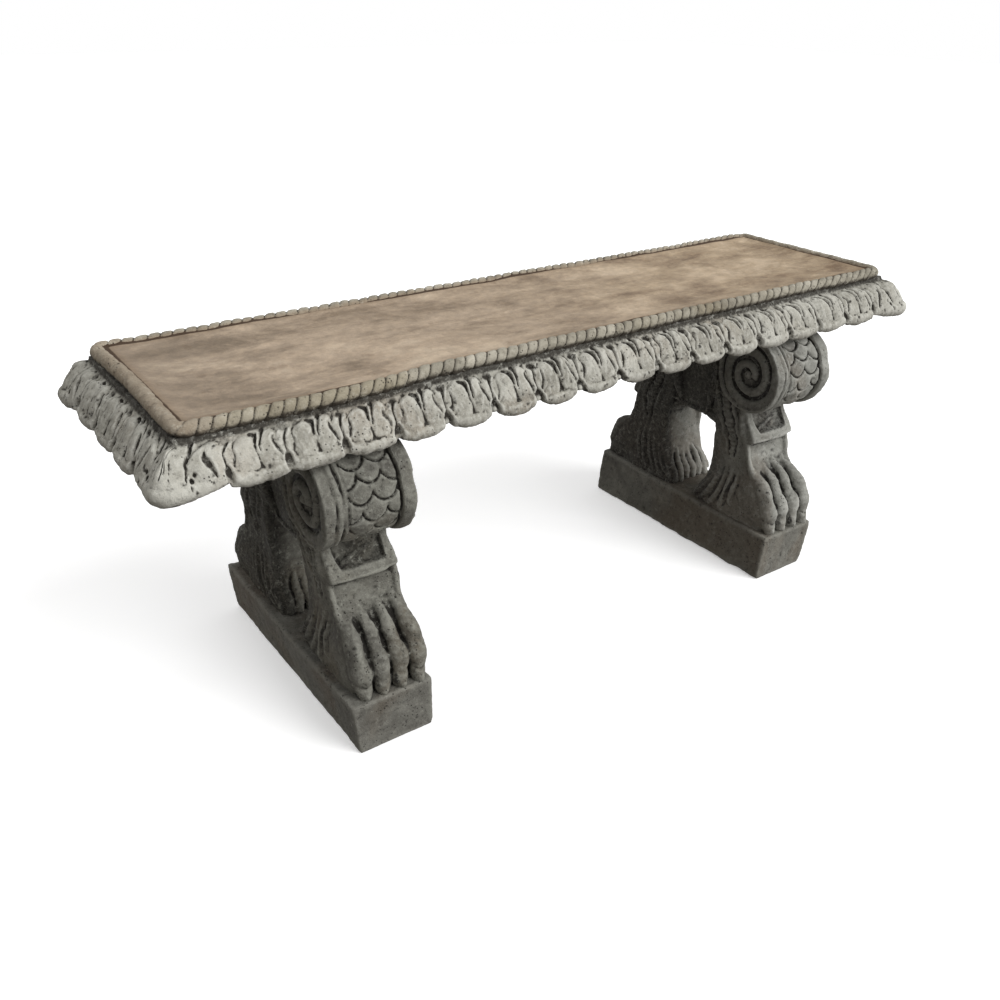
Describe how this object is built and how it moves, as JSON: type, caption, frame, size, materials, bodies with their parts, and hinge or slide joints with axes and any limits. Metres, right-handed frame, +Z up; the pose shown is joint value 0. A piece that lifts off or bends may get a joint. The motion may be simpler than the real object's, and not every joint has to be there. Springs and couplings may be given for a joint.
{
  "type": "garden bench",
  "caption": "Straight cast-stone garden bench: a dished seat slab with rope border and leaf edge, bedded on scrolled lion-paw pedestals.",
  "frame": {"origin": "on the ground, under the middle of the bench", "axes": "+X along the seat, +Y from the front edge to the back edge, +Z up"},
  "size_m": [1.13, 0.368, 0.43],
  "materials": {
    "seat_stone": "matte",
    "pedestal_stone": "matte",
    "bedding_mortar": "matte",
    "reinforcing_steel": "matte"
  },
  "bodies": {
    "root": {"left_bed": "bedding_mortar", "left_front_dowel": "reinforcing_steel", "left_front_leg_bar": "reinforcing_steel", "left_pedestal": "pedestal_stone", "left_plinth_bar_inner": "reinforcing_steel", "left_plinth_bar_outer": "reinforcing_steel", "left_rear_dowel": "reinforcing_steel", "left_rear_leg_bar": "reinforcing_steel", "right_bed": "bedding_mortar", "right_front_dowel": "reinforcing_steel", "right_front_leg_bar": "reinforcing_steel", "right_pedestal": "pedestal_stone", "right_plinth_bar_inner": "reinforcing_steel", "right_plinth_bar_outer": "reinforcing_steel", "right_rear_dowel": "reinforcing_steel", "right_rear_leg_bar": "reinforcing_steel", "seat_bar_front": "reinforcing_steel", "seat_bar_middle": "reinforcing_steel", "seat_bar_rear": "reinforcing_steel", "seat_cross_bar_1": "reinforcing_steel", "seat_cross_bar_2": "reinforcing_steel", "seat_cross_bar_3": "reinforcing_steel", "seat_cross_bar_4": "reinforcing_steel", "seat_cross_bar_5": "reinforcing_steel", "seat_slab": "seat_stone"}
  },
  "joints": []
}
